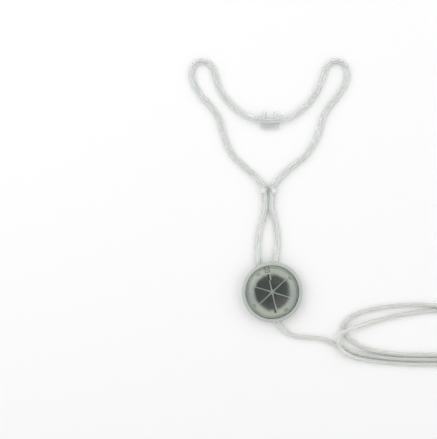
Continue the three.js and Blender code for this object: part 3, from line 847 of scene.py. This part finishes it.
def slider_passage():
    """The way through for both tubes: flared on the side where they part."""
    sides = 32
    points = []
    for y, half_width in PASSAGE_SHAPE:
        for k in range(sides):
            angle = 2 * math.pi * k / sides
            reach = half_width - PASSAGE_HALF_HEIGHT
            x = reach * (1 if math.cos(angle) > 0 else -1) + PASSAGE_HALF_HEIGHT * math.cos(angle)
            z = PASSAGE_HALF_HEIGHT * math.sin(angle)
            points.append((SLIDER_X + x, SLIDER_Y + y, PORT_HEIGHT + z))
    last = len(PASSAGE_SHAPE) - 1
    faces = [tuple(range(sides)), tuple(reversed(range(last * sides, (last + 1) * sides)))]
    for i in range(last):
        for k in range(sides):
            a, b = i * sides + k, i * sides + (k + 1) % sides
            faces.append((a, b, b + sides, a + sides))
    return outward(mesh_from("passage", points, faces))


def make_slider():
    low = (SLIDER_X - SLEEVE_HALF_WIDTH, SLIDER_Y - SLEEVE_HALF_LENGTH, SLEEVE_BOTTOM)
    high = (SLIDER_X + SLEEVE_HALF_WIDTH, SLIDER_Y + SLEEVE_HALF_LENGTH, SLEEVE_TOP)
    middle = PORT_HEIGHT * MM
    forms = [block("slider_sleeve", low, high)]
    for side in (-1, 1):
        x = SLIDER_X + side * LOBE_CENTRE
        path = [Vector((x, SLIDER_Y + y, PORT_HEIGHT)) for y, _ in LOBE_SHAPE]
        lobe = rod("lobe", path, [radius for _, radius in LOBE_SHAPE], 32)
        for vertex in lobe.data.vertices:
            vertex.co.z = middle + (vertex.co.z - middle) * LOBE_TALLNESS
        forms.append(lobe)
    piece = moulded(join(forms), 0.25, 4)
    cut(piece, slider_passage())
    smooth(piece, 40)
    piece.data.materials.append(WHITE_VINYL)
    piece.data.materials.append(SOFT_CLEAR)
    for face in piece.data.polygons:
        if abs(face.center.x / MM - SLIDER_X) < BRIDGE_HALF_WIDTH:
            face.material_index = 1
    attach(piece, "slider")
    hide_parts("slider")


make_slider()


# Pendant: back shell, membrane with its star, and front cover

BACK_WALL_RADIUS = 38.8
BACK_TOP = 11.9
LEDGE_RADIUS = 36.6
LEDGE_TOP = 10.3
FILM_BOTTOM = 10.6
FILM_TOP = 11.2
FILM_RADIUS = 38.5
FILM_SLACK = 0.28
FILM_SLACK_REACH = 28
FOLD_DEPTH = 0.35
RELIEF_ROOT = 0.2
PORT_WALL = 1.1
PORT_DEPTH = 12.0
PORT_CLEARANCE = 0.35
CANNULA_HOLE = CANNULA_RADIUS + PORT_CLEARANCE
SUPPLY_HOLE = SUPPLY_RADIUS + PORT_CLEARANCE
STAR_TURN = -17
STAR_ARMS = 6
STAR_LENGTH = 26.0
STAR_MATERIALS = (RIDGE, PALE_FOLD, PAINTED_SHADE_SLOT, OCHRE_FOLD)
ARM_HALF_WIDTH = 0.65
ARM_FOOT_FLARE = 0.5
ARM_HEIGHT = 1.0
ARM_ROOT = 0.3
GUIDE_TURN = 103
CLIP_TURN = 38
CLIP_COUNT = 4
WINDOW_EDGE = 37.35
COVER_TOP = 16.0
RIM_ROUNDING = 2.8


def inlet_axis(x, inner, outer):
    wall_y = math.sqrt(BACK_RADIUS ** 2 - x ** 2)
    return [Vector((x, wall_y - inner, PORT_HEIGHT)), Vector((x, wall_y + outer, PORT_HEIGHT))]


def outlet_axis(inner, outer):
    return [Vector(outlet_at(-inner)), Vector(outlet_at(outer))]


def make_pendant_back():
    wall, ledge, floor = BACK_WALL_RADIUS, LEDGE_RADIUS, 1.2
    profile = [(0, 0), (38.0, 0), (39.8, 0.8), (BACK_RADIUS, 2.6), (BACK_RADIUS, BACK_TOP),
               (wall, BACK_TOP), (wall, LEDGE_TOP), (ledge, LEDGE_TOP), (ledge, 9.4), (wall, 7.6),
               (wall, 2.4), (37.6, floor), (0, floor)]
    piece = turned("pendant_shell", rounded(profile, 0.4, 2))
    inlets = [(inlet_axis(x, PORT_DEPTH, -1), inlet_axis(x, PORT_DEPTH + 1, 4), CANNULA_HOLE)
              for x in (LEFT_PORT_X, RIGHT_PORT_X)]
    outlet = (outlet_axis(PORT_DEPTH + 1, -1), outlet_axis(PORT_DEPTH + 2, 4), SUPPLY_HOLE)
    ports = [*inlets, outlet]
    for boss, _, hole in ports:
        cut(piece, rod("boss", boss, [hole + PORT_WALL] * 2, 32), "UNION")
    for _, bore, hole in ports:
        cut(piece, rod("bore", bore, [hole] * 2, 32))
    smooth(piece)
    piece.data.materials.append(SHELL)
    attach(piece, "cannula")
    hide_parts("pendant_back")


def star_arm():
    """One ridge of the star, along +X: widest and highest near the hub, fading towards its tip."""
    points = []
    faces = []
    steps = 16
    for i in range(steps + 1):
        share = i / steps
        width = ARM_HALF_WIDTH + ARM_FOOT_FLARE * (1 - share) ** 3
        high = ARM_HEIGHT * (1 - 0.75 * share ** 2)
        shoulder = 0.35 * high
        section = ((-width, -ARM_ROOT), (-width, shoulder), (0, high), (width, shoulder), (width, -ARM_ROOT))
        for across, up in section:
            points.append((STAR_LENGTH * share, across, FILM_TOP + up))
    for i in range(steps):
        for k in range(5):
            a, b = 5 * i + k, 5 * i + (k + 1) % 5
            faces.append((a, b, b + 5, a + 5))
    faces += [tuple(range(5)), tuple(reversed(range(5 * steps, 5 * steps + 5)))]
    return outward(mesh_from("star_arm", points, faces))


def raised(name, outline, high, turn=0.0):
    """A flat-topped form on the film, from [distance from the centre, distance to the left] corners."""
    bottom, top = FILM_TOP - RELIEF_ROOT, FILM_TOP + high
    cos, sin = math.cos(math.radians(turn)), math.sin(math.radians(turn))
    ground = [(r * cos - t * sin, r * sin + t * cos) for r, t in outline]
    count = len(ground)
    points = [(x, y, bottom) for x, y in ground] + [(x, y, top) for x, y in ground]
    faces = [tuple(range(count)), tuple(range(count, 2 * count))]
    faces += [(k, (k + 1) % count, count + (k + 1) % count, count + k) for k in range(count)]
    return outward(mesh_from(name, points, faces))


def beside(inner, outer, near, inner_width, outer_width, side):
    """Corners of a tapered strip on one side of a radius."""
    return [(inner, side * near), (outer, side * near), (outer, side * (near + outer_width)),
            (inner, side * (near + inner_width))]


def painted(piece, material):
    """Gives a whole form one of the star's materials."""
    index = STAR_MATERIALS.index(material)
    for face in piece.data.polygons:
        face.material_index = index
    return piece


def port_guides():
    """Folds of the film in front of an inlet and the outlet: a slot painted dark as shade, and a pale lip
    beside it.
    """
    slot_height, lip_height, overlap = 0.85, 0.75, 0.2
    inlet_guide = (GUIDE_TURN, 16.6, 25.6, -1.1, 1)
    outlet_guide = (GUIDE_TURN - 180, 18.3, 29.4, 0.7, -1)
    forms = []
    for turn, inner, outer, near, left in (inlet_guide, outlet_guide):
        slot = raised("slot", beside(inner, outer, near, 2.1, 2.7, left), slot_height, turn)
        lip = raised("lip", beside(inner, outer, -overlap - near, 1.8, 3.0, -left), lip_height, turn)
        forms += [painted(slot, PAINTED_SHADE_SLOT), painted(lip, PALE_FOLD)]
    tongue = [(28.0, -3.4), (35.6, -3.4), (35.6, -2.5), (28.9, -2.5), (28.9, 2.5), (35.6, 2.5), (35.6, 3.4),
              (28.0, 3.4)]
    stub = [(30.4, -1.5), (34.2, -1.5), (34.2, -0.9), (31.0, -0.9), (31.0, 0.9), (34.2, 0.9), (34.2, 1.5),
            (30.4, 1.5)]
    for outline in (tongue, stub):
        forms.append(painted(raised("tongue", outline, 0.5, GUIDE_TURN), OCHRE_FOLD))
    return forms


def clip(name, start, end, half, high):
    """One bar of the clips that hold the film down, across +X, between two distances from the centre."""
    return raised(name, [(start, -half), (end, -half), (end, half), (start, half)], high)


def make_membrane():
    ring_step = 0.5
    profile = [(0, FILM_BOTTOM), (FILM_RADIUS, FILM_BOTTOM), (FILM_RADIUS, FILM_TOP)]
    profile += [(FILM_RADIUS - ring_step * i, FILM_TOP) for i in range(1, 75)]
    profile += [(0.8, FILM_TOP), (0, FILM_TOP)]
    piece = turned("pendant_film", profile)

    # The film sags between the arms of the star and dips into a fold near its edge
    for vertex in piece.data.vertices:
        x, y, z = vertex.co / MM
        far = math.hypot(x, y)
        if z < (FILM_BOTTOM + FILM_TOP) / 2:
            continue
        if 1 < far < FILM_SLACK_REACH:
            turn = math.atan2(y, x) - math.radians(STAR_TURN)
            slack = math.sin(math.pi * far / FILM_SLACK_REACH) * (1 - math.cos(STAR_ARMS * turn)) / 2
            vertex.co.z -= FILM_SLACK * slack * MM
        if 35.9 < far < 37.4:
            vertex.co.z -= FOLD_DEPTH * MM
    smooth(piece, 60)
    piece.data.materials.append(FILM)
    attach(piece, "cannula")
    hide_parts("pendant_membrane")

    round_array = round_array_tree()
    arms = set_round(star_arm(), round_array, STAR_ARMS, STAR_TURN, RIDGE)
    feet = set_round(clip("foot", 31.0, 33.2, 3.2, 0.5), round_array, CLIP_COUNT, CLIP_TURN, PALE_FOLD)
    # Thin slots beside the clip feet, painted dark as shade
    slots = set_round(clip("slot", 30.3, 31.0, 3.0, 0.15), round_array, CLIP_COUNT, CLIP_TURN, PAINTED_SHADE_SLOT)
    hub_shape = ((0, -ARM_ROOT), (2.9, -ARM_ROOT), (2.7, 0.2), (1.8, 0.85), (0, ARM_HEIGHT))
    hub = turned("hub", [(radius, FILM_TOP + up) for radius, up in hub_shape], 32)
    star = join([hub, arms, painted(feet, PALE_FOLD), painted(slots, PAINTED_SHADE_SLOT), *port_guides()])
    star.name = "pendant_star"
    smooth(star, 30)
    for material in STAR_MATERIALS:
        star.data.materials.append(material)
    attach(star, "cannula")


def make_cover():
    round_x = PENDANT_RADIUS - RIM_ROUNDING
    round_z = COVER_TOP - RIM_ROUNDING
    top = [(0, 13.9), (25.6, 13.9), (26.4, 14.1), (33.4, 14.5), (33.8, 15.4), (36.0, 15.4), (36.2, 14.5),
           (37.3, 14.5), (37.4, COVER_TOP), (round_x, COVER_TOP)]
    edge = []
    for i in range(1, 7):
        angle = math.radians(15 * i)
        edge.append((round_x + RIM_ROUNDING * math.sin(angle), round_z + RIM_ROUNDING * math.cos(angle)))
    under = [(PENDANT_RADIUS, 9.65), (40.9, 9.65), (40.9, 12.2), (38.3, 12.2), (38.3, 11.55),
             (36.7, 11.55), (36.3, 12.7), (0, 12.7)]
    piece = turned("pendant_front", rounded(top, 0.3, 3) + edge + rounded(under, 0.25, 2))
    smooth(piece)
    piece.data.materials.append(COVER)
    piece.data.materials.append(RIM)
    for face in piece.data.polygons:
        face.material_index = 0 if face.center.to_2d().length / MM < WINDOW_EDGE else 1
    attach(piece, "cannula")
    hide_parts("pendant_cover")


make_pendant_back()
make_membrane()
make_cover()


# Connector: a soft ribbed funnel at the far end of the supply tube

def make_connector():
    outside = [(3.35, 0), (4.7, 0), (4.7, 12.5), (5.0, 14), (6.05, 24), (6.05, 41.4), (5.6, 42)]
    inside = [(3.7, 42), (3.4, 41.5), (3.4, 17), (2.2, 16), (2.2, 12), (3.35, 12), (3.35, 0)]
    piece = turned("funnel_connector", rounded(outside, 0.5, 3) + rounded(inside, 0.3, 2), 96)
    ribs = 16
    rib_height = 0.13
    rib_start, rib_end, rib_fade = 22, 38, 3
    inmost_rib = 5.2
    for vertex in piece.data.vertices:
        x, y, z = vertex.co / MM
        far = math.hypot(x, y)
        if far > inmost_rib and rib_start < z < rib_end:
            fade = min(1, (z - rib_start) / rib_fade, (rib_end - z) / rib_fade)
            rise = rib_height * fade * math.cos(ribs * math.atan2(y, x))
            vertex.co.x *= 1 + rise / far
            vertex.co.y *= 1 + rise / far
    piece.data.transform(Matrix.Translation(Vector((CONNECTOR_X, CONNECTOR_Y, CONNECTOR_HEIGHT)) * MM)
                         @ Matrix.Rotation(math.pi / 2, 4, "Y"))
    smooth(piece)
    piece.data.materials.append(SOFT_CLEAR)
    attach(piece, "cannula")
    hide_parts("supply_connector")
    return piece


def lay_supply_tube(connector):
    step, sides = 2.2, 22
    path = spline(supply_route(), step)
    piece = tube("oxygen_supply_tube", path, SUPPLY_RADIUS, SUPPLY_BORE_RADIUS, sides)
    piece.data.materials.append(SUPPLY_TUBING)
    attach(piece, "cannula")
    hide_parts("supply_tube", "supply_coil", "supply_tail")


lay_supply_tube(make_connector())
